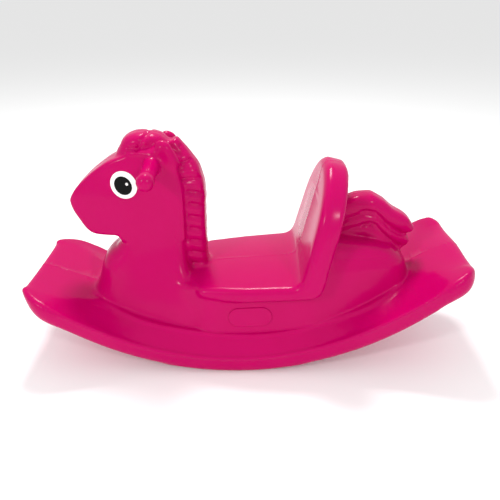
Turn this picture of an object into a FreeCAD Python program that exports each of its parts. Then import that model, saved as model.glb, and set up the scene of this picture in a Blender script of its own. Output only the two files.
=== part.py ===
import FreeCAD, Part
import math
import os
from FreeCAD import Vector

# One-piece rotomoulded rocking horse.  Sizes are in millimetres.
# +Z is up, the floor is Z = 0, the horse looks along -X and its left side is -Y.
# The forms are drawn about the seat; the finished pieces are moved so that the
# horse's box is centred on the origin.

# ---- rocker hull: a shallow boat that rolls on a cylinder about a cross-wise axis
ROCK_RADIUS = 594.0          # radius of the rolling underside
ROCK_X = -18.0               # where the underside touches the floor at rest
FRONT_ANGLE = 43.7           # how far round the rolling circle each end lies, degrees
REAR_ANGLE = 49.4
FRONT_AIM = 465.0            # height over the floor contact that the front end's plane aims at
HULL_WIDTH = 292.0
FRONT_CORNER = 80.0          # plan radius of the hull's corners
REAR_CORNER = 64.0
TREAD_ROUND = 16.0           # along the lower edges of the side bands
FRONT_END_ROUND = 16.0       # along the top edge of each end
REAR_END_ROUND = 24.0
# deck line along the middle of the hull, front to rear
DECK = [(-440, 181), (-404, 167.5), (-340, 143), (-245, 107), (-140, 83), (-8, 72.5),
        (120, 86), (230, 120), (325, 169), (400, 216), (445, 242)]
# sloping skirts: station, height of the outer edge, half width of the deck between the skirts
SKIRT = [(-440, 178.5, 112), (-385, 155.5, 110), (-340, 134.5, 96), (-292, 107.5, 68), (-235, 79, 88),
         (-150, 51.5, 108), (-8, 36, 119), (120, 54.5, 113), (210, 87, 98), (268, 118, 86),
         (325, 155, 64), (343, 168, 76), (362, 182, 90), (400, 211, 104), (445, 239.5, 108)]
SKIRT_STEPS = 30             # stations along each cutting form
SKIRT_OVERLAP = 12.0         # how far the cutting forms run past the surfaces they make

# ---- level rings of the chest and neck: height, front, rear, half widths, front corner
CHEST = [(30, -338, -30, 70, 117, 40), (95, -318, -50, 65, 111, 40), (118, -309, -62, 61, 105, 38),
         (135, -300, -74, 58, 98, 38), (152, -291, -88, 55, 89, 36), (168, -282, -100, 53, 80, 34),
         (184, -273, -109, 51, 71, 32), (198, -262, -112, 50, 64, 30), (214, -248, -113, 49, 57.5, 28),
         (232, -239, -113, 48, 52.5, 26), (255, -236, -113, 47.2, 49, 24), (280, -235, -113, 46, 46.8, 24),
         (360, -230, -113, 42, 44, 24)]
CHEST_REAR_ROUND = 20.0

# ---- barrel and rump: height, rearward fall, rear, mid half width, rear half width, corner
BARREL_FRONT = -140.0
BARREL_SHOULDER = -75.0      # where the barrel reaches its full width
BARREL_MID = 130.0
BARREL = [(30, 0, 356, 118, 72, 46), (95, 0, 342, 112.5, 66, 46), (150, 0, 332, 109, 64, 46),
          (195, 0, 319, 103, 61, 46), (222, 0.06, 305, 97, 57, 46), (240, 0.1, 292, 88, 50, 44),
          (250, 0.14, 280, 78, 41, 36), (255, 0.16, 267, 66, 30, 27)]
SADDLE_REST = 166.0          # height of the barrel's top under the saddle
SADDLE_LAP = 17.0            # how far the rump reaches into the foot of the backrest

# ---- saddle and backrest: one bent plate, crowned across its width
SEAT_FRONT = -128.0
SEAT_REAR = 105.5            # where the middle of the seat would meet the backrest
SEAT_REAR_HEIGHT = 191.0
SEAT_RISE = 4.27             # degrees that the seat climbs to the rear
BACK_LEAN = 13.2             # degrees that the backrest leans rearward
CROWN = 8.0                  # drop of seat and backrest from their middles to their sides
CROWN_AT = 125.0             # half width at which the crown is measured
SEAT_FILLET = 24.0           # inside the corner between seat and backrest
SADDLE_HALF_WIDTH = 134.0
SEAT_DEPTH = 60.0
SADDLE_UNDER = [(-140, 157, 1), (-30, 143, 250), (143.5, 158, 26)]    # under line, with radii
BACK_THICK = 48.5
BACK_HEIGHT = 202.5          # along the backrest, from the seat's corner to its top
BACK_ARCH = 119.0            # radius of the backrest's arched top
BACK_SHOULDER = 38.0         # likewise, to where its sides begin to lean in
BACK_NARROWING = 26.0        # how far each side leans in by the height of the top
RIM_BEVEL = 7.0              # along the whole rim of seat and backrest

# ---- head: each side is one plane that leans in towards the muzzle and the brow
HEAD_BOTTOM = 240.0
EYE_X = -221.0
EYE_Z = 353.5
EYE_HALF = 44.0              # half width of the head at the eye
CHEEK_TAPER = 0.12           # loss of half width per millimetre towards the muzzle
BROW_TAPER = 0.14            # loss of half width per millimetre upward
MUZZLE_X = -338.0
MUZZLE_HALF = 33.0
MUZZLE_ROUND = 22.0
CHEEK_HALF = 47.5
EYE_LONG = 26.2              # half lengths of the oval eye label
EYE_SHORT = 24.4
EYE_TILT = 51.0              # fall of its long axis towards the rear, degrees
LABEL_THICK = 0.6

# ---- forelock, ears and mane
# forelock rings, front to rear: along, top, half width
FORELOCK = [(-238, 400, 9), (-233, 412, 19), (-224, 426, 27), (-212, 435, 32), (-198, 440, 34),
            (-184, 440, 34), (-168, 440, 33), (-152, 435, 30), (-136, 426, 22)]
FORELOCK_FOOT = 384.0
# ear rings, foot to tip: along, outward, up, half length, half width
EAR = [(-140, 31, 388, 26, 14), (-143, 34, 405, 23, 12), (-144, 37, 420, 16, 10), (-144, 38, 429, 9, 7)]
MANE_LOW = 180.0
MANE_PITCH = 25.0
LOCKS = 10
LOCK_GROOVE = 5.0
LOCK_FALL = 0.37             # rearward fall of the lower locks
LOCK_TURN = 0.28             # change of that fall from lock to lock over the poll
TURN_AFTER = 6               # locks below that turn
MANE_FRONT = -118.0
MANE_REAR = -74.0
MANE_HALF = 42.0
MANE_REAR_HALF = 27.0
NAPE = 325.0                 # height above which the mane leans forward over the poll
POLL_CURVE = 205.0           # the larger, the gentler that lean

# ---- hand grips through the head
GRIP_ROOT = Vector(-167, 0, 393)
GRIP_END = Vector(-165, 139, 386)
GRIP_RADIUS = 14.5
KNOB_RADIUS = 15.8
KNOB_LENGTH = 24.0
ROOT_RADIUS = 20.0
ROOT_OUT = 58.0              # where the flare around the grip's root has died away

# ---- tail: locks laid over one another, each a list of along, up, half height, half width
TAIL = [
    [(158, 262, 14, 22), (178, 281, 18, 25), (198, 294, 20, 27), (220, 301, 20, 28), (242, 302, 20, 28),
     (262, 293, 19, 28), (280, 279, 18, 27), (296, 270, 17, 26), (311, 262, 16, 25), (326, 246, 13, 20)],
    [(180, 252, 12, 22), (206, 268, 14, 26), (232, 277, 14, 27), (252, 272, 14, 27), (270, 258, 14, 27),
     (288, 243, 14, 26), (306, 232, 14, 23), (324, 220, 11, 16)],
    [(176, 240, 18, 22), (234, 253, 18, 26), (260, 240, 17, 26), (288, 224, 15, 25), (312, 209, 12, 18)],
]

# ---- vent plug in the underside
PLUG_ANGLE = 14.0            # round the rolling circle, towards the rear
PLUG_RADIUS = 11.0
PLUG_DEPTH = 8.0
PLUG_SUNK = 2.0
PLUG_FIT = 0.3


def xy(z, fall=0.0, pivot=0.0):
    """Maps plan coordinates to a plane at height z that falls towards +X."""
    return lambda a, b: Vector(a, b, z - fall * (a - pivot))


def xz(y):
    """Maps (along, up) to the side plane at y."""
    return lambda a, b: Vector(a, y, b)


def yz(x):
    """Maps (across, up) to the cross-section plane at x."""
    return lambda a, b: Vector(x, a, b)


def rounded_wire(corners, place):
    """Closed wire through (a, b, radius) corners, each corner rounded by a tangent arc."""
    arcs = []
    count = len(corners)
    for i, (a, b, radius) in enumerate(corners):
        here = Vector(a, b, 0)
        before = Vector(*corners[i - 1][:2], 0) - here
        after = Vector(*corners[(i + 1) % count][:2], 0) - here
        before.normalize()
        after.normalize()
        half = before.getAngle(after) / 2
        reach = radius / math.tan(half)
        bisector = before + after
        bisector.normalize()
        middle = here + bisector * (radius / math.sin(half) - radius)
        arcs.append([place(p.x, p.y) for p in (here + before * reach, middle, here + after * reach)])
    edges = []
    for i, (start, middle, stop) in enumerate(arcs):
        edges.append(Part.Arc(start, middle, stop).toShape())
        edges.append(Part.makeLine(stop, arcs[(i + 1) % count][0]))
    return Part.Wire(edges)


def symmetric(corners):
    """Corners of one side, followed by their mirror image across b = 0."""
    return corners + [(a, -b, radius) for a, b, radius in reversed(corners)]


def prism(wire, direction):
    return Part.Face(wire).extrude(direction)


def stack(wires):
    """Solid ruled through the wires, with its faces pointing outward."""
    solid = Part.makeLoft(wires, True, True)
    return solid if solid.Volume > 0 else solid.reversed()


def side_prism(edges, half_width):
    solid = prism(Part.Wire(edges), Vector(0, 2 * half_width, 0))
    solid.translate(Vector(0, -half_width, 0))
    return solid


def on_rolling_circle(angle, inward=0.0):
    """Point of the underside at an angle from its bottom, positive towards the rear."""
    turn = math.radians(angle)
    radius = ROCK_RADIUS - inward
    return Vector(ROCK_X + radius * math.sin(turn), 0, ROCK_RADIUS - radius * math.cos(turn))


def through(points):
    """Smooth curve through (x, y, z) points whose parameter is x itself."""
    curve = Part.BSplineCurve()
    curve.interpolate(Points=[Vector(*point) for point in points], Parameters=[point[0] for point in points])
    return curve


def skirt_section(deck, station, side):
    """Triangle of the material that one skirt takes off the hull; station holds along, crest, edge."""
    x, crest, edge = station
    half = HULL_WIDTH / 2
    slope = (deck.z - edge) / (half - crest)
    low = Vector(x, side * (half + SKIRT_OVERLAP), edge - slope * SKIRT_OVERLAP)
    high = Vector(x, side * (crest - SKIRT_OVERLAP), edge + slope * (half - crest + SKIRT_OVERLAP))
    top = Vector(x, side * (half + SKIRT_OVERLAP), high.z + SKIRT_OVERLAP)
    return Part.makePolygon([low, high, top, low])


def end_top(edge, foot):
    """True for the edge straight above the foot of one end, where the deck meets that end."""
    middle = edge.CenterOfMass
    rise = middle - Vector(foot.x, 0, foot.z)
    return rise.Length < 60 and rise.z > TREAD_ROUND / 2 and edge.BoundBox.YLength > HULL_WIDTH / 2


def rocker():
    """Sector between the two ends with rounded tread edges, under the deck line, between its skirts."""
    half = HULL_WIDTH / 2
    axle = Vector(ROCK_X, 0, ROCK_RADIUS)
    front = on_rolling_circle(-FRONT_ANGLE)
    rear = on_rolling_circle(REAR_ANGLE)
    under = Part.Arc(front, on_rolling_circle(0), rear).toShape()
    aim = Vector(ROCK_X, 0, FRONT_AIM)
    ends = [Part.makeLine(rear, axle), Part.makeLine(axle, aim), Part.makeLine(aim, front)]
    sector = side_prism([under] + ends, half)
    plan = symmetric([(front.x, -half, FRONT_CORNER), (rear.x, -half, REAR_CORNER)])
    boat = sector.common(prism(rounded_wire(plan, xy(-50)), Vector(0, 0, 400)))
    tread = next(face for face in boat.Faces if abs(getattr(face.Surface, "Radius", 0) - ROCK_RADIUS) < 1)
    boat = boat.makeFillet(TREAD_ROUND, tread.OuterWire.Edges)
    deck = through([(x, 0, z) for x, z in DECK])
    first, last = (Vector(DECK[i][0], 0, DECK[i][1]) for i in (0, -1))
    low = [Vector(last.x, 0, -50), Vector(first.x, 0, -50)]
    below = side_prism([deck.toShape(), Part.makeLine(last, low[0]), Part.makeLine(*low),
                        Part.makeLine(low[1], first)], half)
    block = sector.common(below)
    for top, radius in ((front, FRONT_END_ROUND), (rear, REAR_END_ROUND)):
        block = block.makeFillet(radius, [edge for edge in block.Edges if end_top(edge, top)])
    body = boat.common(block)
    skirt = through([(x, crest, edge) for x, edge, crest in SKIRT])
    step = (last.x - first.x) / SKIRT_STEPS
    stations = [first.x + step * i for i in range(SKIRT_STEPS + 1)]
    for side in (-1, 1):
        body = body.cut(stack([skirt_section(deck.value(x), skirt.value(x), side) for x in stations]))
    return body


def chest():
    wires = []
    for z, front, rear, front_half, rear_half, corner in CHEST:
        ring = [(front, -front_half, corner), (rear, -rear_half, CHEST_REAR_ROUND)]
        wires.append(rounded_wire(symmetric(ring), xy(z)))
    return stack(wires)


def barrel():
    wires = []
    for z, fall, rear, half, rear_half, corner in BARREL:
        ring = [(BARREL_FRONT, -half * 0.7, 20), (BARREL_SHOULDER, -half, 60), (BARREL_MID, -half, 80),
                (rear, -rear_half, corner)]
        wires.append(rounded_wire(symmetric(ring), xy(z, fall, BARREL_MID)))
    length = SEAT_REAR + SADDLE_LAP - BARREL_FRONT
    above = Part.makeBox(length, 400, 200, Vector(BARREL_FRONT, -200, SADDLE_REST))
    return stack(wires).cut(above)


def crowned_slab(length, depth, crown):
    """Slab along +X whose upper face is an arc across its width, highest on the line Y = 0, Z = 0."""
    half = SADDLE_HALF_WIDTH + 10
    drop = crown * (half / CROWN_AT) ** 2
    arc = Part.Arc(Vector(0, -half, -drop), Vector(), Vector(0, half, -drop)).toShape()
    low = [Vector(0, half, -depth), Vector(0, -half, -depth)]
    sides = [Part.makeLine(Vector(0, half, -drop), low[0]), Part.makeLine(*low),
             Part.makeLine(low[1], Vector(0, -half, -drop))]
    return prism(Part.Wire([arc] + sides), Vector(length, 0, 0))


def saddle():
    """Crowned seat and flat backrest, rounded into one another and along their whole rim."""
    corner = Vector(SEAT_REAR, 0, SEAT_REAR_HEIGHT)
    lean = math.radians(BACK_LEAN)
    up = Vector(math.sin(lean), 0, math.cos(lean))
    rearward = Vector(math.cos(lean), 0, -math.sin(lean))
    seat = crowned_slab(SEAT_REAR - SEAT_FRONT + 60, SEAT_DEPTH, CROWN)
    seat.translate(Vector(SEAT_FRONT - 30 - SEAT_REAR, 0, 0))
    seat.rotate(Vector(), Vector(0, 1, 0), -SEAT_RISE)
    half = SADDLE_HALF_WIDTH + 10
    back = Part.makeBox(300, 2 * half, BACK_THICK, Vector(-60, -half, -BACK_THICK))
    back.rotate(Vector(), Vector(0, 1, 0), BACK_LEAN - 90)
    plate = seat.fuse(back)
    plate.translate(corner)
    meet = [edge for edge in plate.Edges if edge.BoundBox.XMin > SEAT_REAR - 3 - CROWN
            and abs(edge.BoundBox.ZMax - SEAT_REAR_HEIGHT) < 1 and edge.BoundBox.YLength > RIM_BEVEL]
    plate = plate.makeFillet(SEAT_FILLET, meet)
    plan = symmetric([(SEAT_FRONT, -52, 14), (-104, -78, 14), (-84, -113, 16), (0, -127, 300),
                      (112, -SADDLE_HALF_WIDTH, 60), (230, -SADDLE_HALF_WIDTH, 20)])
    arch = [(SADDLE_HALF_WIDTH, -160, 1), (SADDLE_HALF_WIDTH, BACK_SHOULDER, 100),
            (SADDLE_HALF_WIDTH - BACK_NARROWING, BACK_HEIGHT, BACK_ARCH)]
    arch += [(-a, b, radius) for a, b, radius in reversed(arch)]
    start = corner - rearward * 300
    rise = 300.0
    x, z = SADDLE_UNDER[-1][:2]
    outline = SADDLE_UNDER + [(x + rise * math.tan(lean), z + rise, 1), (SADDLE_UNDER[0][0], z + rise, 1)]
    for wire, place, run in ((plan, xy(100), Vector(0, 0, 400)), (outline, xz(-200), Vector(0, 400, 0)),
                             (arch, lambda a, b: start + Vector(0, a, 0) + up * b, rearward * 600)):
        plate = plate.common(prism(rounded_wire(wire, place), run))
    rim = [edge for edge in plate.Edges if edge.BoundBox.ZMax > SEAT_REAR_HEIGHT + 150
           and edge.Length > 2 * RIM_BEVEL and edge.BoundBox.XLength < edge.BoundBox.YLength]
    return plate.makeChamfer(RIM_BEVEL, rim)


def head_half(x, z):
    return EYE_HALF + CHEEK_TAPER * (x - EYE_X) - BROW_TAPER * (z - EYE_Z)


def head():
    """Side outline of the head, cut by its two leaning sides and by the plan of the muzzle."""
    corners = [(-331, 319, 10), (-318, 341, 120), (-288, 369, 160), (-250, 393, 160), (-205, 411, 160),
               (-150, 424, 40), (-126, 408, 20), (-113, 345, 120), (-113, HEAD_BOTTOM, 5),
               (-238, HEAD_BOTTOM, 5), (-240, 250.5, 6), (-299, 252, 30), (-329, 303, 60)]
    side = prism(rounded_wire(corners, xz(-80)), Vector(0, 160, 0))
    levels = []
    for z in (HEAD_BOTTOM - 10, 450):
        ring = [Vector(x, s * head_half(x, z), z) for x, s in ((-350, -1), (-80, -1), (-80, 1), (-350, 1))]
        levels.append(Part.makePolygon(ring + ring[:1]))
    rear_half = MUZZLE_HALF + (-80 - MUZZLE_X) * CHEEK_TAPER * 1.05
    plan = symmetric([(MUZZLE_X, -MUZZLE_HALF, MUZZLE_ROUND), (-80, -rear_half, 10)])
    muzzle = prism(rounded_wire(plan, xy(HEAD_BOTTOM - 10)), Vector(0, 0, 220))
    cheeks = Part.makeBox(300, 2 * CHEEK_HALF, 220, Vector(-360, -CHEEK_HALF, HEAD_BOTTOM - 10))
    return side.common(stack(levels)).common(muzzle).common(cheeks)


def forelock():
    wires = []
    for x, top, half in FORELOCK:
        crest = min(half, top - FORELOCK_FOOT) * 0.7
        ring = [(-half, FORELOCK_FOOT, 3), (half, FORELOCK_FOOT, 3), (half, top, crest), (-half, top, crest)]
        wires.append(rounded_wire(ring, yz(x)))
    return stack(wires)


def ear(side):
    wires = []
    for x, y, z, length, width in EAR:
        ring = [(x - length, side * y - width), (x + length, side * y - width),
                (x + length, side * y + width), (x - length, side * y + width)]
        wires.append(rounded_wire([(a, b, width * 0.9) for a, b in ring], xy(z)))
    return stack(wires)


def mane():
    """Locks stacked up the back of the neck, each a little wider at its top than at its foot."""
    wires = []
    for k in range(LOCKS):
        fall = LOCK_FALL - LOCK_TURN * max(0, k - TURN_AFTER)
        for rise, inset in ((0, LOCK_GROOVE), (20, 0.0)):
            z = MANE_LOW + k * MANE_PITCH + rise
            lean = max(0.0, z - NAPE) ** 2 / POLL_CURVE
            narrow = inset + lean * 0.4
            ring = [(MANE_FRONT - lean, -MANE_HALF + narrow, 8),
                    (MANE_REAR - lean - inset / 4, -MANE_REAR_HALF + narrow / 2, 15)]
            wires.append(rounded_wire(symmetric(ring), xy(z, fall, -92 - lean)))
    return stack(wires)


def grip(side):
    """Round bar that swells at its root and ends in a domed knob, turned about its own axis."""
    axis = Vector(GRIP_END.x, GRIP_END.y * side, GRIP_END.z) - GRIP_ROOT
    length = axis.Length
    knob = length - KNOB_LENGTH
    outline = [(0, 0), (ROOT_RADIUS, 0), (ROOT_RADIUS, 36), (GRIP_RADIUS, ROOT_OUT), (GRIP_RADIUS, knob - 5),
               (KNOB_RADIUS, knob), (KNOB_RADIUS, length - 10), (KNOB_RADIUS * 0.8, length - 4),
               (KNOB_RADIUS * 0.4, length), (0, length), (0, 0)]
    face = Part.Face(Part.makePolygon([Vector(r, 0, z) for r, z in outline]))
    bar = face.revolve(Vector(), Vector(0, 0, 1), 360)
    bar.Placement = FreeCAD.Placement(GRIP_ROOT, FreeCAD.Rotation(Vector(0, 0, 1), axis))
    return bar


def tail_lock(stations):
    """Rounded bar swept through its stations, each ring square to the run of the lock."""
    wires = []
    last = len(stations) - 1
    for i, (x, z, half_height, half_width) in enumerate(stations):
        before = stations[max(i - 1, 0)]
        after = stations[min(i + 1, last)]
        along = Vector(after[0] - before[0], 0, after[1] - before[1])
        along.normalize()
        up = Vector(-along.z, 0, along.x)
        centre = Vector(x, 0, z)
        corner = min(half_height, half_width) * 0.9
        ring = [(-half_width, -half_height, corner), (half_width, -half_height, corner),
                (half_width, half_height, corner), (-half_width, half_height, corner)]
        wires.append(rounded_wire(ring, lambda a, b, c=centre, u=up: c + Vector(0, a, 0) + u * b))
    return stack(wires)


def vent(radius, sunk):
    """Round block square to the underside, from a depth out to the given sink."""
    base = on_rolling_circle(PLUG_ANGLE, PLUG_DEPTH)
    out = on_rolling_circle(PLUG_ANGLE, sunk) - base
    return Part.makeCylinder(radius, out.Length, base, out)


def eye_label(side):
    """Thin oval that lies on the plane of one cheek."""
    out = Vector(-CHEEK_TAPER, side, BROW_TAPER)
    out.normalize()
    centre = Vector(EYE_X, side * head_half(EYE_X, EYE_Z), EYE_Z)
    tilt = math.radians(EYE_TILT)
    across = out.cross(Vector(math.cos(tilt), 0, -math.sin(tilt)))
    across.normalize()
    along = across.cross(out)
    oval = Part.Ellipse(centre + along * EYE_LONG, centre + across * EYE_SHORT, centre)
    return prism(Part.Wire([oval.toShape()]), out * LABEL_THICK)


def shell():
    """The whole moulding in one piece: rocker, body, saddle, head, mane, grips and tail."""
    pivot = Vector(ROCK_X, -200, ROCK_RADIUS)
    inside = Part.makeCylinder(ROCK_RADIUS - TREAD_ROUND, 400, pivot, Vector(0, 1, 0))
    body = chest().fuse(barrel()).common(inside)
    forms = [body, saddle(), head(), mane(), forelock()]
    forms += [form(side) for form in (ear, grip) for side in (-1, 1)]
    forms += [tail_lock(stations) for stations in TAIL]
    fused = rocker().fuse(forms)
    hole = vent(PLUG_RADIUS + PLUG_FIT, -PLUG_SUNK)
    return fused.cut(hole)


pieces = {
    "shell": shell(),
    "eye_label_left": eye_label(-1),
    "eye_label_right": eye_label(1),
    "vent_plug": vent(PLUG_RADIUS, PLUG_SUNK),
}
box = pieces["shell"].optimalBoundingBox()
shift = Vector(-box.Center.x, 0, -box.ZMin)
os.makedirs("parts", exist_ok=True)
for name, shape in pieces.items():
    shape.translate(shift)
    shape.exportStep("parts/" + name + ".step")
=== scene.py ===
import math

import bmesh
import bpy
import numpy as np
from mathutils import Matrix, Vector
from mathutils.bvhtree import BVHTree


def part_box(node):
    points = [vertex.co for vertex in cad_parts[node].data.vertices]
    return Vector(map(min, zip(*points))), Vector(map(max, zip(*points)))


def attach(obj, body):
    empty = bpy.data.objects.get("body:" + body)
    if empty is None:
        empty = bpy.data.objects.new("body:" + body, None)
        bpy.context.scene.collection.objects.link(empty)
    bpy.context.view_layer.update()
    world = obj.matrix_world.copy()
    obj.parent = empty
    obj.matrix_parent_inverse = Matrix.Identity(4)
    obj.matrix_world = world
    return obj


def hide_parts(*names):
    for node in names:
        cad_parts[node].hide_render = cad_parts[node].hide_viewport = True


bl_info = {
    "name": "Rocking Horse",
    "version": (1, 0, 0),
    "blender": (4, 5, 0),
    "location": "View3D > Sidebar > Rocking Horse",
    "description": "Dresses the moulded rocking horse and sets up its studio",
    "category": "Object",
}

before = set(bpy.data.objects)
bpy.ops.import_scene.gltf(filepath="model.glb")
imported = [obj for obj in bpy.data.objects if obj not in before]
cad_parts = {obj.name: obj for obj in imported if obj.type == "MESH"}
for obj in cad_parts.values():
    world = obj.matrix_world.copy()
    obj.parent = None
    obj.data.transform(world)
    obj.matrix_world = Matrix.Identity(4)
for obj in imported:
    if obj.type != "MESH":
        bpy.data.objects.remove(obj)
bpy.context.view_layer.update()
MM = 0.001

# Places on the horse are in millimetres in the frame's own axes. A line gives places along and up,
# as seen from the side. A pressed or raised line has a height, below zero where it is pressed in,
# and a width.
MANE_GROOVE = (-3.2, 2.4)
MANE_LINE = [(-105.8, 312.6), (-92, 309), (-76, 301.5)]     # the groove that repeats down the neck
MANE_PITCH = 25.0
MANE_REPEATS = 6
MANE_FAN = [                                                # the grooves that fan over the poll
    [(-107.4, 337.5), (-92, 334), (-75.3, 326.6)],
    [(-116.4, 361.9), (-98, 362), (-76, 357)],
    [(-123, 389.5), (-105, 394), (-88, 397)],
    [(-131, 411), (-120, 420), (-108, 427)]]
CURL_GROOVE = (-3.5, 2.8)
CURL_LINE = [(-197, 415), (-193, 425), (-186, 433), (-178, 440)]
CURL_RISE = 3.8                  # how much fuller the tops of the curls are
BROW_GROOVE = (-2.4, 3.2)
BROW_GROOVE_LINE = [(-212, 419), (-195, 420), (-181, 422), (-170, 426)]
BROW_RIDGE = (2.8, 4.0)
BROW_RIDGE_LINE = [(-214, 411), (-197, 412), (-181, 411), (-168, 412)]
TAIL_GROOVE = (-3.0, 3.6)
TAIL_LINES = [
    [(222, 293), (231, 295), (249, 291), (264, 275), (281, 256), (303, 243), (324, 243)],
    [(226, 264), (240, 270), (252, 265), (264, 250), (283, 233), (303, 217)]]
SKIRT_BEAD = (2.4, 3.0)
DECK_BEAD = (2.6, 3.0)
LEDGE_MIDDLE = 2                 # the deck's bead is middled this far outside the deck's edge
LEDGE_REACH = (18, 12)           # from there: where the bead's band begins and where it is full
# The rocker's edges are measured on the frame's shell, inside boxes given along, across and up.
SKIRT_EDGE_BOX = [(-400, 400), (140, 150), (0, 250)]
DECK_EDGE_BOX = [(-330, 310), (56, 125), (0, 163)]
SKIRT_CORNERS = [(-443.5, 178.5), (441.5, 239.5)]   # where the skirt's edge runs out at the ends
EDGE_STATIONS = 20                                  # places along a measured edge
# Soft swellings, the same on both sides: centre, reach along, across and up, height.
SWELLS = [
    ((-404, 120, 112), (42, 55, 38), 12),       # front corners of the rocker
    ((412, 120, 184), (35, 50, 34), 12),        # rear corners, low
    ((395, 100, 218), (35, 70, 24), -7),        # rear corners, top
    ((-268, 0, 196), (38, 75, 42), 13),         # throat
    ((-84, 0, 385), (20, 60, 34), 4.5),         # crest of the neck, high
    ((-72, 0, 340), (14, 60, 30), 2.5),         # crest of the neck, low
    ((-262, 0, 396), (44, 60, 20), 2.5),        # forehead
    ((175, 0, 388), (45, 100, 26), 3),          # top of the backrest
    ((240, 0, 322), (34, 30, 14), 3),           # tail, first wave
    ((308, 0, 282), (16, 30, 12), 1.5)]         # tail, second wave
REAR_BOW = (8.0, 120)            # how far the rear end bows out in the middle, and over what half width
# Lumps that the skin is drawn over as well: centre and half lengths.
MANE_FOOT = ((-98, 0, 177), (27, 36, 14))
EAR = ((-148, 36, 422), (15, 11, 12))
# Regions of the horse. Each border has an axis, the place where the region begins and the place
# where it is full. The y axis counts from the middle plane to either side.
REGIONS = {
    "mane": [("x", -123, -115), ("x", -80, -88), ("z", 184, 194)],
    "poll": [("z", 330, 350)],
    "forelock": [("x", -100, -112), ("z", 398, 408)],
    "curls": [("x", -100, -112), ("z", 398, 408), ("y", 44, 36)],
    "curl tops": [("x", -140, -160), ("z", 418, 434)],
    "off the parting": [("y", 3, 9)],
    "temples": [("y", 16, 26)],
    "grips": [("x", -120, -130), ("y", 50, 56), ("z", 350, 358)],
    "tail": [("x", 150, 160), ("x", 345, 335), ("y", 8, 16), ("y", 42, 36), ("z", 204, 214)],
    "backrest": [("x", 88, 104), ("x", 168, 160), ("z", 196, 216)],
    "chest": [("x", -210, -180), ("x", -95, -125), ("y", 52, 64), ("z", 60, 80), ("z", 178, 160)],
    "skirts": [("y", 52, 64), ("z", 16, 24), ("z", 150, 130)],
    "outer edges": [("y", 96, 104)],
    "deck without its ends": [("x", -310, -290), ("x", 310, 290)],
    "front end": [("x", -340, -360)],
    "rear end": [("x", 345, 370)],
    "rear face": [("x", 360, 410)],
    "foot of the chest": [("x", -262, -285), ("y", 110, 90), ("z", 92, 104), ("z", 192, 172)],
    "foot of the tail": [("x", 318, 330), ("y", 110, 90), ("z", 216, 204)]}
EDGE_REACH = (15, 9)             # from an edge: where its crisp band begins and where it is full
LABEL_RINGS = 4                  # rings in a label, enough to follow the cheek
PAD_RINGS = 5                    # rings in the pad, enough to follow the flank
PLATE_BITE = 0.4 * MM            # how deep a label or pad reaches into the skin
PAST_THE_SIDE = 0.3              # outside the horse, in metres from its middle plane
# The studio, in metres: half the floor's side, where the lights aim, and each light's name, place,
# side and power in watts.
FLOOR_HALF = 40.0
LIGHT_AIM = (0, 0, 0.2)
SOFTBOXES = [
    ("softbox_top", (-0.2, 0.9, 2.3), 0.5, 36.0),
    ("softbox_left", (-1.6, -2.0, 1.6), 0.28, 19.0),
    ("softbox_right", (1.2, -2.2, 1.6), 0.28, 16.0)]


class ShellSettings(bpy.types.PropertyGroup):
    voxel: bpy.props.FloatProperty(
        name="Skin grid", description="Grid on which the moulded skin is closed over its forms",
        default=2.0 * MM, unit="LENGTH")
    fine: bpy.props.FloatProperty(
        name="Fine rounding", description="Rounding of the mane, forelock, tail and grips",
        default=2.6 * MM, unit="LENGTH")
    rim: bpy.props.FloatProperty(
        name="Rim rounding", description="Rounding of the saddle's rim, the cheeks and the rocker's edges",
        default=6.0 * MM, unit="LENGTH")
    broad: bpy.props.FloatProperty(
        name="Broad rounding", description="Rounding of the rocker's ends and the flanks",
        default=13.0 * MM, unit="LENGTH")
    faces: bpy.props.IntProperty(
        name="Faces kept", description="Triangles of the finished skin", default=185000)
    seam: bpy.props.FloatProperty(
        name="Parting bead", description="Height of the bead where the mould's halves meet",
        default=0.4 * MM, unit="LENGTH")
    seam_half: bpy.props.FloatProperty(
        name="Parting bead's half width", description="From the bead's crest to its foot",
        default=1.1 * MM, unit="LENGTH")
    colour: bpy.props.StringProperty(
        name="Shell colour", description="Polyethylene coloured right through", default="#B8005A")


class EyeSettings(bpy.types.PropertyGroup):
    label: bpy.props.FloatVectorProperty(
        name="Label", description="Half lengths of the oval label", size=2, unit="LENGTH",
        default=(26.2 * MM, 24.4 * MM))
    pupil_offset: bpy.props.FloatVectorProperty(
        name="Pupil offset", description="From the middle of the label, along and up", size=2,
        unit="LENGTH", default=(-1.2 * MM, -1.3 * MM))
    pupil: bpy.props.FloatVectorProperty(
        name="Pupil", description="Half lengths of the oval pupil", size=2, unit="LENGTH",
        default=(18.0 * MM, 16.0 * MM))
    tilt: bpy.props.FloatProperty(
        name="Tilt", description="Fall of the pupil's long axis towards the rear",
        default=math.radians(51.0), unit="ROTATION")
    glint_offset: bpy.props.FloatVectorProperty(
        name="Glint offset", description="From the middle of the pupil, along and up", size=2,
        unit="LENGTH", default=(7.2 * MM, 3.1 * MM))
    glint: bpy.props.FloatProperty(
        name="Glint", description="Radius of the white dot in the pupil", default=2.7 * MM,
        unit="LENGTH")
    stands: bpy.props.FloatProperty(
        name="Stands proud", description="Height of the label over the cheek", default=0.6 * MM,
        unit="LENGTH")
    print_step: bpy.props.FloatProperty(
        name="Print", description="Height of each layer of print over the one below",
        default=0.12 * MM, unit="LENGTH")
    edge: bpy.props.FloatProperty(
        name="Edge", description="Rounding of the label's rim", default=0.15 * MM, unit="LENGTH")
    white: bpy.props.StringProperty(
        name="White", description="Colour of the label", default="#F8F8F6")
    black: bpy.props.StringProperty(
        name="Black", description="Colour of the pupil", default="#101010")


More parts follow.
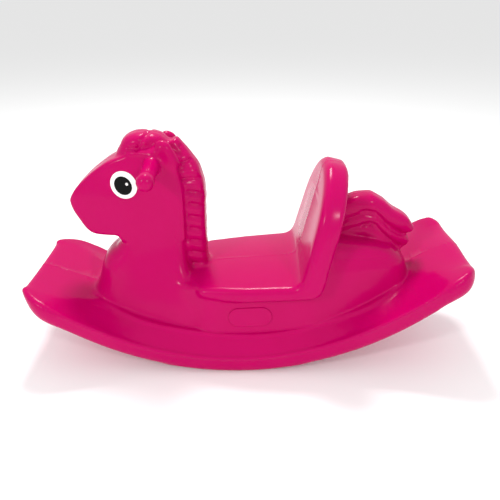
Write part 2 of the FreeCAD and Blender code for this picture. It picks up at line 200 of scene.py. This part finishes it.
class PadSettings(bpy.types.PropertyGroup):
    place: bpy.props.FloatVectorProperty(
        name="Place", description="Middle of the bare pad on the left flank, along and up", size=2,
        unit="LENGTH", default=(8.3 * MM, 110.0 * MM))
    size: bpy.props.FloatVectorProperty(
        name="Size", description="Length and height", size=2, unit="LENGTH", default=(84 * MM, 40 * MM))
    rise: bpy.props.FloatProperty(
        name="Rise", description="Tilt up towards the rear", default=math.radians(2.5), unit="ROTATION")
    stands: bpy.props.FloatProperty(
        name="Stands proud", description="Height over the flank", default=2.2 * MM, unit="LENGTH")
    edge: bpy.props.FloatProperty(
        name="Edge", description="Rounding of the pad's rim", default=1.2 * MM, unit="LENGTH")


class PlugSettings(bpy.types.PropertyGroup):
    colour: bpy.props.StringProperty(
        name="Plug colour", description="Polyethylene coloured to match the shell",
        default="#C00450")


class StageSettings(bpy.types.PropertyGroup):
    eye: bpy.props.FloatVectorProperty(
        name="Camera place", description="Where the camera stands", unit="LENGTH", size=3,
        default=(0.00776, -1.01263, 0.69669))
    down: bpy.props.FloatProperty(
        name="Camera fall", description="How far the camera looks below the horizon",
        default=math.radians(26.185), unit="ROTATION")
    lens: bpy.props.FloatProperty(
        name="Lens", description="Focal length on a 36 mm sensor, in millimetres", default=39.96)
    floor: bpy.props.StringProperty(
        name="Floor", description="Colour of the painted floor", default="#FAFAFA")
    daylight: bpy.props.FloatProperty(
        name="Daylight", description="Strength of the even white light all round", default=0.82)


# ---------------------------------------------------------------- materials

def linear(code):
    """sRGB hex colour as linear red, green, blue and alpha."""
    def channel(c):
        return c / 12.92 if c <= 0.04045 else ((c + 0.055) / 1.055) ** 2.4
    return tuple(channel(int(code[i:i + 2], 16) / 255) for i in (1, 3, 5)) + (1.0,)


def add_node(tree, kind, settings=None, values=None, links=None):
    """Adds one node, sets its fields and socket values and links its inputs."""
    node = tree.nodes.new(kind)
    for field, value in (settings or {}).items():
        setattr(node, field, value)
    for socket, value in (values or {}).items():
        node.inputs[socket].default_value = value
    for socket, output in (links or {}).items():
        tree.links.new(output, node.inputs[socket])
    return node


def new_material(name, values):
    material = bpy.data.materials.new(name)
    material.use_nodes = True
    tree = material.node_tree
    shader = tree.nodes["Principled BSDF"]
    for socket, value in values.items():
        shader.inputs[socket].default_value = value
    return material, tree, shader


def noise(tree, place, size, detail):
    return add_node(tree, "ShaderNodeTexNoise", values={"Scale": 1 / size, "Detail": detail},
                    links={"Vector": place.outputs["Object"]})


def ramp(tree, value, low, high):
    """Carries a noise value onto the range from low to high."""
    return add_node(tree, "ShaderNodeMapRange",
                    values={"From Min": 0.3, "From Max": 0.7, "To Min": low, "To Max": high},
                    links={"Value": value.outputs["Fac"]})


def moulded_polyethylene(colour):
    """Rotomoulded polyethylene, made by pigmented powder melting onto a cast mould: coloured
    through with faint clouds of pigment (about 60 mm), the waviness of a skin that shrank off the
    mould (about 14 mm), a fine sand-blasted grain (about 0.9 mm) and a satin that varies with it."""
    material, tree, shader = new_material("rotomoulded_polyethylene", {
        "IOR": 1.5, "Specular IOR Level": 0.1, "Subsurface Weight": 0.05, "Subsurface Scale": 0.004})
    place = add_node(tree, "ShaderNodeTexCoord")
    clouds = noise(tree, place, 0.06, 3.0)
    wave = noise(tree, place, 0.014, 1.0)
    grain = noise(tree, place, 0.0009, 2.0)
    red, green, blue, alpha = linear(colour)
    tint = add_node(tree, "ShaderNodeMix", {"data_type": "RGBA"}, links={0: clouds.outputs["Fac"]})
    tint.inputs[6].default_value = (red * 0.96, green, blue * 0.93, alpha)
    tint.inputs[7].default_value = (min(1.0, red * 1.04), green, blue * 1.07, alpha)
    satin = ramp(tree, wave, 0.17, 0.22)
    soft = add_node(tree, "ShaderNodeBump", values={"Strength": 0.05, "Distance": 0.001},
                    links={"Height": wave.outputs["Fac"]})
    fine = add_node(tree, "ShaderNodeBump", values={"Strength": 0.03, "Distance": 0.0002},
                    links={"Height": grain.outputs["Fac"], "Normal": soft.outputs["Normal"]})
    tree.links.new(tint.outputs[2], shader.inputs["Base Color"])
    tree.links.new(satin.outputs["Result"], shader.inputs["Roughness"])
    tree.links.new(fine.outputs["Normal"], shader.inputs["Normal"])
    return material


def printed_vinyl(name, colour):
    """Printed vinyl label: even ink with a slight mottle (about 3 mm), under a clear film whose
    gloss follows the skin below (about 12 mm)."""
    material, tree, shader = new_material(name, {"IOR": 1.5, "Specular IOR Level": 0.1})
    place = add_node(tree, "ShaderNodeTexCoord")
    mottle = noise(tree, place, 0.003, 2.0)
    film = noise(tree, place, 0.012, 1.0)
    red, green, blue, alpha = linear(colour)
    ink = add_node(tree, "ShaderNodeMix", {"data_type": "RGBA"}, links={0: mottle.outputs["Fac"]})
    ink.inputs[6].default_value = (red * 0.96, green * 0.96, blue * 0.96, alpha)
    ink.inputs[7].default_value = (red, green, blue, alpha)
    gloss = ramp(tree, film, 0.24, 0.32)
    tree.links.new(ink.outputs[2], shader.inputs["Base Color"])
    tree.links.new(gloss.outputs["Result"], shader.inputs["Roughness"])
    return material


def plug_polyethylene(colour):
    """Injection-moulded low-density polyethylene, waxy, with a slight flow mottle (about 5 mm)."""
    material, tree, shader = new_material("vent_plug_polyethylene", {
        "IOR": 1.5, "Specular IOR Level": 0.4, "Subsurface Weight": 0.1, "Subsurface Scale": 0.002})
    place = add_node(tree, "ShaderNodeTexCoord")
    flow = noise(tree, place, 0.005, 2.0)
    red, green, blue, alpha = linear(colour)
    tint = add_node(tree, "ShaderNodeMix", {"data_type": "RGBA"}, links={0: flow.outputs["Fac"]})
    tint.inputs[6].default_value = (red * 0.9, green, blue * 0.9, alpha)
    tint.inputs[7].default_value = (red, green, blue, alpha)
    tree.links.new(tint.outputs[2], shader.inputs["Base Color"])
    tree.links.new(ramp(tree, flow, 0.4, 0.5).outputs["Result"], shader.inputs["Roughness"])
    return material


def plain_paint(name, colour):
    """Matt painted studio board, with no gloss to mirror the horse."""
    return new_material(name, {"Base Color": linear(colour), "Roughness": 0.95,
                               "Specular IOR Level": 0.0})[0]


# ---------------------------------------------------------------- meshes

def new_object(name, bm, *materials):
    mesh = bpy.data.meshes.new(name)
    bm.to_mesh(mesh)
    bm.free()
    for material in materials:
        mesh.materials.append(material)
    piece = bpy.data.objects.new(name, mesh)
    bpy.context.scene.collection.objects.link(piece)
    return piece


def apply_modifiers(piece):
    """Replaces the piece's mesh by the result of its modifiers."""
    graph = bpy.context.evaluated_depsgraph_get()
    finished = bpy.data.meshes.new_from_object(piece.evaluated_get(graph))
    piece.modifiers.clear()
    piece.data = finished


def merged_copy(node):
    bm = bmesh.new()
    bm.from_mesh(node.data)
    bmesh.ops.remove_doubles(bm, verts=bm.verts, dist=0.01 * MM)
    return bm


def add_lump(bm, centre, half):
    """Adds a closed egg-shaped lump, in millimetres, for the skin to be drawn over."""
    made = bmesh.ops.create_icosphere(bm, subdivisions=3, radius=1.0)["verts"]
    for vert in made:
        vert.co = Vector([(c + h * v) * MM for c, h, v in zip(centre, half, vert.co)])


def points(mesh):
    """Vertex places in millimetres."""
    flat = np.empty(len(mesh.vertices) * 3, dtype=np.float32)
    mesh.vertices.foreach_get("co", flat)
    return flat.reshape(-1, 3) / MM


def normals(mesh):
    flat = np.empty(len(mesh.vertices) * 3, dtype=np.float32)
    mesh.vertices.foreach_get("normal", flat)
    return flat.reshape(-1, 3)


def fade(value, off, full):
    """0 at off, 1 at full, smooth between them and level beyond; off may be the larger."""
    t = np.clip((value - off) / (full - off), 0, 1)
    return t * t * (3 - 2 * t)


def off_line(p, line):
    """Distance in side view from each point to a line of straight runs."""
    flat = p[:, [0, 2]]
    best = np.full(len(flat), 1e9)
    for a, b in zip(line, line[1:]):
        a, b = np.array(a), np.array(b)
        share = np.clip(((flat - a) @ (b - a)) / ((b - a) @ (b - a)), 0, 1)
        best = np.minimum(best, np.linalg.norm(flat - a - share[:, None] * (b - a), axis=1))
    return best


# ---------------------------------------------------------------- where the forms lie on the horse

def within(p, region):
    """How far each point lies in a region, from 0 to 1."""
    axes = {"x": p[:, 0], "y": np.abs(p[:, 1]), "z": p[:, 2]}
    share = np.ones(len(p))
    for axis, begins, full in REGIONS[region]:
        share *= fade(axes[axis], begins, full)
    return share


def on_mane(p):
    return within(p, "mane") * (1 - 0.7 * within(p, "poll"))


def on_rocker_ends(p):
    return np.maximum(0.8 * within(p, "front end"), within(p, "rear end"))


def edge_places(bm, box, meets):
    """Places in the box, front to rear, where faces of two kinds meet: along, across and up."""
    found = set()
    for edge in (edge for edge in bm.edges if edge.is_manifold):
        one, other = [face.normal for face in edge.link_faces]
        if meets(one, other) or meets(other, one):
            found.update((v.co.x / MM, abs(v.co.y) / MM, v.co.z / MM) for v in edge.verts)
    return np.array(sorted(place for place in found if all(
        low < value < high for value, (low, high) in zip(place, box))))


def measured_line(places):
    """Line along and up, in even steps from front to rear, through the places of an edge."""
    along = np.linspace(places[0, 0], places[-1, 0], EDGE_STATIONS)
    return list(zip(along, np.interp(along, places[:, 0], places[:, 2])))


def rocker_edges(bm):
    """Lines of the skirt's outer edge and of the deck's edge, and the places of the deck's edge.

    Normals tell the faces apart: a wall is upright, the deck is flat across, a slope tips outwards."""
    skirt = edge_places(bm, SKIRT_EDGE_BOX, lambda wall, slope: abs(wall.z) < 0.3 and slope.z > 0.35)
    deck = edge_places(bm, DECK_EDGE_BOX, lambda flat, slope: (
        abs(flat.y) < 0.04 and flat.z > 0.6 and abs(slope.y) > 0.1 and slope.z > 0.5))
    front, rear = SKIRT_CORNERS
    return [front, *measured_line(skirt), rear], measured_line(deck), deck


def off_deck_edge(p, deck):
    """How far each point lies outside the deck's edge, across the horse."""
    return np.abs(p[:, 1]) - np.interp(p[:, 0], deck[:, 0], deck[:, 1])


def on_crests(p, edges):
    skirt_line, deck_line, deck = edges
    outer = within(p, "outer edges") * fade(off_line(p, skirt_line), *EDGE_REACH)
    level = fade(np.abs(off_deck_edge(p, deck)), *EDGE_REACH)
    return np.maximum(outer, level * fade(off_line(p, deck_line), *EDGE_REACH))


# ---------------------------------------------------------------- the moulded skin

def rounding(piece, name, weight, distance, voxel):
    """Adds a smoothing pass that rounds edges over the distance, as strongly as weight says.

    Each pass of smoothing spreads a shape by about half a grid step, and spreads add up as squares."""
    group = piece.vertex_groups.new(name=name)
    levels = np.rint(weight * 8).astype(int)
    for level in range(1, 9):
        group.add(np.flatnonzero(levels == level).tolist(), level / 8, "REPLACE")
    soften = piece.modifiers.new(name, "SMOOTH")
    soften.vertex_group = name
    soften.iterations = round(4 * (distance / voxel) ** 2)


def swell(p, centre, reach, height):
    """Height of a soft swelling about a place that is mirrored to both sides."""
    away = (np.abs(p) * (0, 1, 0) + p * (1, 0, 1) - np.array(centre)) / reach
    return height * np.exp(-(away ** 2).sum(axis=1))


def raised(p, line, shape):
    """Height of a soft bead along a line, or of a groove where the height is below zero."""
    height, width = shape
    return height * np.exp(-(off_line(p, line) / width) ** 2)


def mane_grooves():
    repeated = [[(x, z - MANE_PITCH * k) for x, z in MANE_LINE] for k in range(MANE_REPEATS)]
    return repeated + MANE_FAN


def press(mesh, edges):
    """Moves the skin along its normals: in along the grooves, out along the beads and swellings."""
    p, n = points(mesh), normals(mesh)
    skirt_line, deck_line, deck = edges
    move = sum(swell(p, *form) for form in SWELLS)
    mane_sides = (on_mane(p) > 0.01) * fade(np.abs(n[:, 1]), 0.2, 0.7)
    move += mane_sides * sum(raised(p, line, MANE_GROOVE) for line in mane_grooves())
    curls = within(p, "curls")
    move += curls * within(p, "off the parting") * raised(p, CURL_LINE, CURL_GROOVE)
    move += CURL_RISE * curls * within(p, "curl tops")
    brow = raised(p, BROW_GROOVE_LINE, BROW_GROOVE) + raised(p, BROW_RIDGE_LINE, BROW_RIDGE)
    move += within(p, "temples") * brow
    move += within(p, "tail") * sum(raised(p, line, TAIL_GROOVE) for line in TAIL_LINES)
    ledge = fade(np.abs(off_deck_edge(p, deck) - LEDGE_MIDDLE), *LEDGE_REACH)
    ledge *= within(p, "deck without its ends")
    move += ledge * raised(p, deck_line, DECK_BEAD)
    move += within(p, "outer edges") * raised(p, skirt_line, SKIRT_BEAD)
    p += n * move[:, None]
    bow, half = REAR_BOW
    p[:, 0] += bow * np.clip(1 - (p[:, 1] / half) ** 2, 0, 1) * within(p, "rear face")
    mesh.vertices.foreach_set("co", (p * MM).astype(np.float32).ravel())
    mesh.update()


def keep_outer_skin(bm):
    """Deletes every face that isn't joined to the top of the horse, such as a small hollow's lining."""
    top = max(bm.verts, key=lambda vert: vert.co.z)
    found, fresh = {top}, [top]
    while fresh:
        vert = fresh.pop()
        for other in [edge.other_vert(vert) for edge in vert.link_edges]:
            if other not in found:
                found.add(other)
                fresh.append(other)
    bmesh.ops.delete(bm, geom=[vert for vert in bm.verts if vert not in found], context="VERTS")


def parting_bead(mesh, height, half_width):
    """Raises the bead that a mould in two halves leaves along the middle."""
    bm = bmesh.new()
    bm.from_mesh(mesh)
    keep_outer_skin(bm)
    on_plane = 0.002 * MM
    for y in (-half_width, 0.0, half_width):
        bmesh.ops.bisect_plane(bm, geom=bm.verts[:] + bm.edges[:] + bm.faces[:], dist=on_plane / 2,
                               plane_co=(0, y, 0), plane_no=(0, 1, 0))
    bm.normal_update()
    for vert in bm.verts:
        if abs(vert.co.y) < on_plane and abs(vert.normal.y) < 0.5:
            vert.co += vert.normal * height
    bmesh.ops.triangulate(bm, faces=[face for face in bm.faces if len(face.verts) > 4])
    bm.to_mesh(mesh)
    bm.free()


# ---------------------------------------------------------------- labels and pad

def skin_tree(piece):
    bm = bmesh.new()
    bm.from_mesh(piece.data)
    tree = BVHTree.FromBMesh(bm)
    bm.free()
    return tree


def cut_rings(bm, reach, rings):
    """Cuts a flat patch of one face into rings that each take an equal share of its reach."""
    patch = bm.faces[:]
    for _ in range(rings - 1):
        bmesh.ops.inset_region(bm, faces=patch, thickness=reach / rings, use_boundary=True,
                               use_even_offset=True)
    bmesh.ops.poke(bm, faces=patch)


def stand_up(bm, centre, turn, size):
    """Sizes a flat patch, stands it up to face the side, turns it down at the rear and places it."""
    place = Matrix.Translation((centre[0], 0, centre[1])) @ Matrix.Rotation(turn, 4, "Y")
    face_side = Matrix.Diagonal((size[0], 1, size[1], 1)) @ Matrix.Rotation(math.pi / 2, 4, "X")
    bmesh.ops.transform(bm, matrix=place @ face_side, verts=bm.verts)


def oval(centre, half, tilt, segments=72):
    """Flat oval seen from the side, its long axis falling by tilt towards the rear."""
    bm = bmesh.new()
    bmesh.ops.create_circle(bm, cap_ends=True, segments=segments, radius=1.0)
    cut_rings(bm, 1.0, LABEL_RINGS)
    stand_up(bm, centre, tilt, half)
    return bm


def round_bar(centre, size, rise):
    """Flat bar with round ends seen from the side, tilted up towards the rear."""
    length, height = size
    bm = bmesh.new()
    bmesh.ops.create_grid(bm, x_segments=1, y_segments=1, size=0.5)
    bmesh.ops.scale(bm, vec=(length, height, 1), verts=bm.verts)
    bmesh.ops.bevel(bm, geom=bm.verts[:], offset=height / 2, offset_type="OFFSET", segments=12,
                    profile=0.5, affect="VERTICES", material=-1)
    bmesh.ops.remove_doubles(bm, verts=bm.verts, dist=0.01 * MM)
    cut_rings(bm, height / 2, PAD_RINGS)
    stand_up(bm, centre, -rise, (1, 1))
    return bm


def lay_on(bm, tree, side, lift):
    """Lays a flat patch on the skin from the given side, lift proud of it, and closes it downwards."""
    def follow_skin(verts, height):
        for vert in verts:
            outside = Vector((vert.co.x, side * PAST_THE_SIDE, vert.co.z))
            spot, normal = tree.ray_cast(outside, Vector((0, -side, 0)))[:2]
            if spot is None:
                raise RuntimeError("the plate reaches past the skin")
            vert.co = spot + normal * height

    top = bm.verts[:]
    grown = bmesh.ops.extrude_face_region(bm, geom=bm.faces[:])["geom"]
    follow_skin(top, -PLATE_BITE)
    follow_skin([item for item in grown if isinstance(item, bmesh.types.BMVert)], lift)
    bmesh.ops.recalc_face_normals(bm, faces=bm.faces)
    return bm


def smooth_edges(piece, width):
    """Rounds a plate's rim and shades it smooth."""
    bevel = piece.modifiers.new("rim", "BEVEL")
    bevel.width = width
    bevel.segments = 3
    bevel.limit_method = "ANGLE"
    apply_modifiers(piece)
    piece.data.shade_smooth()


# ---------------------------------------------------------------- operators

class HORSE_OT_shell(bpy.types.Operator):
    """Closes one soft skin over the moulding's forms"""
    bl_idname = "horse.shell"
    bl_label = "Moulded shell"

    def execute(self, context):
        sizes = context.scene.horse_shell
        bm = merged_copy(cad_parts["shell"])
        edges = rocker_edges(bm)
        add_lump(bm, *MANE_FOOT)
        for side in (-1, 1):
            (x, y, z), half = EAR
            add_lump(bm, (x, side * y, z), half)
        piece = new_object("moulded_shell", bm, moulded_polyethylene(sizes.colour))
        skin = piece.modifiers.new("skin", "REMESH")
        skin.mode = "VOXEL"
        skin.voxel_size = sizes.voxel
        apply_modifiers(piece)

        p = points(piece.data)
        fine = np.maximum.reduce([
            on_mane(p), 0.15 * within(p, "forelock"), within(p, "tail"), within(p, "grips")])
        broad = np.maximum.reduce([
            on_rocker_ends(p), within(p, "chest"), 0.8 * within(p, "skirts"),
            within(p, "foot of the chest"), within(p, "foot of the tail"), 0.8 * within(p, "backrest")])
        free = (1 - fine) * (1 - 0.95 * on_crests(p, edges))
        rounding(piece, "fine", np.ones(len(p)), sizes.fine, sizes.voxel)
        rounding(piece, "rim", free, sizes.rim, sizes.voxel)
        rounding(piece, "broad", broad * free, sizes.broad, sizes.voxel)
        apply_modifiers(piece)
        piece.vertex_groups.clear()

        press(piece.data, edges)
        rounding(piece, "ends", on_rocker_ends(points(piece.data)), sizes.rim, sizes.voxel)
        settle = piece.modifiers.new("settle", "SMOOTH")
        settle.iterations = 3
        thin = piece.modifiers.new("thin", "DECIMATE")
        triangles = 2 * len(piece.data.polygons)        # the grid's faces have four sides
        thin.ratio = min(1.0, sizes.faces / triangles)
        apply_modifiers(piece)
        piece.vertex_groups.clear()
        parting_bead(piece.data, sizes.seam, sizes.seam_half)
        piece.data.shade_smooth()
        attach(piece, "root")
        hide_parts("shell")
        return {"FINISHED"}


class HORSE_OT_eyes(bpy.types.Operator):
    """Lays the oval eye labels on the cheeks"""
    bl_idname = "horse.eyes"
    bl_label = "Eye labels"

    def execute(self, context):
        sizes = context.scene.horse_eye
        tree = skin_tree(bpy.data.objects["moulded_shell"])
        white = printed_vinyl("eye_white_vinyl", sizes.white)
        black = printed_vinyl("eye_black_ink", sizes.black)
        for name in ("left", "right"):
            low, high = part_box("eye_label_" + name)
            side = math.copysign(1, low[1])
            centre = ((low[0] + high[0]) / 2, (low[2] + high[2]) / 2)
            dark = (centre[0] + sizes.pupil_offset[0], centre[1] + sizes.pupil_offset[1])
            spark = (dark[0] + sizes.glint_offset[0], dark[1] + sizes.glint_offset[1])
            glint = (sizes.glint, sizes.glint)
            for layer, (part, patch, ink) in enumerate((
                    ("eye_ring_", oval(centre, sizes.label, sizes.tilt), white),
                    ("eye_pupil_", oval(dark, sizes.pupil, sizes.tilt), black),
                    ("eye_glint_", oval(spark, glint, 0, segments=32), white))):
                lift = sizes.stands + layer * sizes.print_step
                piece = new_object(part + name, lay_on(patch, tree, side, lift), ink)
                smooth_edges(piece, sizes.edge)
                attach(piece, "root")
                if part == "eye_ring_":
                    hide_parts("eye_label_" + name)
        return {"FINISHED"}


class HORSE_OT_pad(bpy.types.Operator):
    """Raises the bare pad on the left flank"""
    bl_idname = "horse.pad"
    bl_label = "Flank pad"

    def execute(self, context):
        sizes = context.scene.horse_pad
        shell = bpy.data.objects["moulded_shell"]
        patch = round_bar(sizes.place, sizes.size, sizes.rise)
        lay_on(patch, skin_tree(shell), -1, sizes.stands)
        piece = new_object("flank_pad", patch, shell.data.materials[0])
        smooth_edges(piece, sizes.edge)
        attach(piece, "root")
        return {"FINISHED"}


class HORSE_OT_plug(bpy.types.Operator):
    """Gives the vent plug its finish"""
    bl_idname = "horse.plug"
    bl_label = "Vent plug"

    def execute(self, context):
        finish = plug_polyethylene(context.scene.horse_plug.colour)
        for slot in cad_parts["vent_plug"].material_slots:
            slot.material = finish
        return {"FINISHED"}


class HORSE_OT_stage(bpy.types.Operator):
    """Sets the floor, the soft lights and the camera"""
    bl_idname = "horse.stage"
    bl_label = "Studio"

    def execute(self, context):
        sizes = context.scene.horse_stage
        bm = bmesh.new()
        bmesh.ops.create_grid(bm, x_segments=1, y_segments=1, size=FLOOR_HALF)
        floor = new_object("floor", bm, plain_paint("studio_board", sizes.floor))
        for name, place, size, power in SOFTBOXES:
            light = bpy.data.lights.new(name, "AREA")
            light.size = size
            light.energy = power
            lamp = bpy.data.objects.new(name, light)
            lamp.location = place
            lamp.rotation_euler = (Vector(LIGHT_AIM) - lamp.location).to_track_quat("-Z", "Y").to_euler()
            context.scene.collection.objects.link(lamp)
        world = bpy.data.worlds.new("studio")
        world.use_nodes = True
        background = world.node_tree.nodes["Background"]
        background.inputs["Color"].default_value = (1, 1, 1, 1)
        background.inputs["Strength"].default_value = sizes.daylight
        context.scene.world = world
        lens = bpy.data.cameras.new("camera")
        lens.lens = sizes.lens
        lens.sensor_width = 36.0
        camera = bpy.data.objects.new("camera", lens)
        camera.location = sizes.eye
        camera.rotation_euler = (math.pi / 2 - sizes.down, 0, 0)
        context.scene.collection.objects.link(camera)
        context.scene.camera = camera
        context.scene.view_settings.view_transform = "Standard"
        return {"FINISHED"}


class HORSE_PT_panel(bpy.types.Panel):
    """Lists the horse's pieces in the order they are made"""
    bl_idname = "HORSE_PT_panel"
    bl_label = "Rocking Horse"
    bl_space_type = "VIEW_3D"
    bl_region_type = "UI"
    bl_category = "Rocking Horse"

    def draw(self, context):
        for operator in PIECES + (HORSE_OT_stage,):
            self.layout.operator(operator.bl_idname)


PIECES = (HORSE_OT_shell, HORSE_OT_eyes, HORSE_OT_pad, HORSE_OT_plug)
SETTINGS = {"horse_shell": ShellSettings, "horse_eye": EyeSettings, "horse_pad": PadSettings,
            "horse_plug": PlugSettings, "horse_stage": StageSettings}
CLASSES = tuple(SETTINGS.values()) + PIECES + (HORSE_OT_stage, HORSE_PT_panel)


def register():
    for cls in CLASSES:
        bpy.utils.register_class(cls)
    for name, group in SETTINGS.items():
        setattr(bpy.types.Scene, name, bpy.props.PointerProperty(type=group))


def unregister():
    for name in SETTINGS:
        delattr(bpy.types.Scene, name)
    for cls in reversed(CLASSES):
        bpy.utils.unregister_class(cls)


def main():
    register()
    bpy.ops.horse.shell()
    bpy.ops.horse.eyes()
    bpy.ops.horse.pad()
    bpy.ops.horse.plug()
    bpy.ops.horse.stage()


if __name__ == "__main__":
    main()
